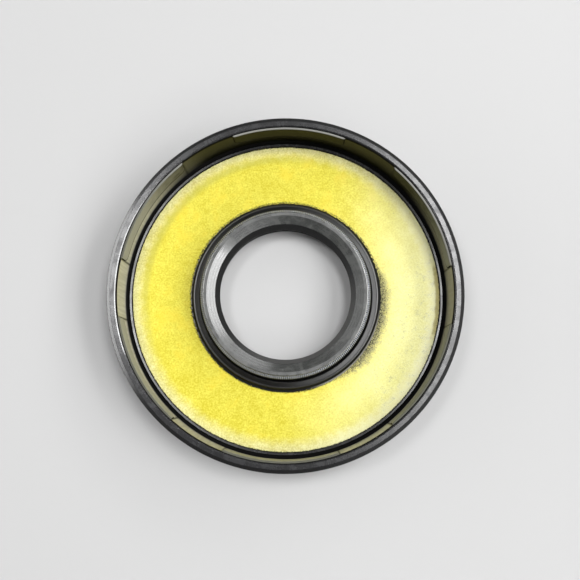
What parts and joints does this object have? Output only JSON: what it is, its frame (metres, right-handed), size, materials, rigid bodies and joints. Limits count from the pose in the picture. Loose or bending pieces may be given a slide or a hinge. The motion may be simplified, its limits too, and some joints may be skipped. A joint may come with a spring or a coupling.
{
  "type": "radial shaft seal",
  "caption": "Round rubber-covered shaft seal with a spring-loaded sealing lip, a dust lip and a coated steel case with an open recess on the sealed side.",
  "frame": {"origin": "centre of the flat back face", "axes": "+Z along the seal's axis, from the back face towards the spring side; +X through the middle of one bare window of the wall"},
  "size_m": [0.0802, 0.0802, 0.012],
  "materials": {
    "rubber": "satin moulded nitrile rubber, smudged and dusty on the rim",
    "coated_steel": "mottled yellow bonding coat, fine grained, duller on the wall",
    "spring_steel": "drawn spring wire, oiled"
  },
  "bodies": {
    "root": {"rubber_body": "rubber", "metal_case": "coated_steel", "garter_spring": "spring_steel"}
  },
  "joints": []
}
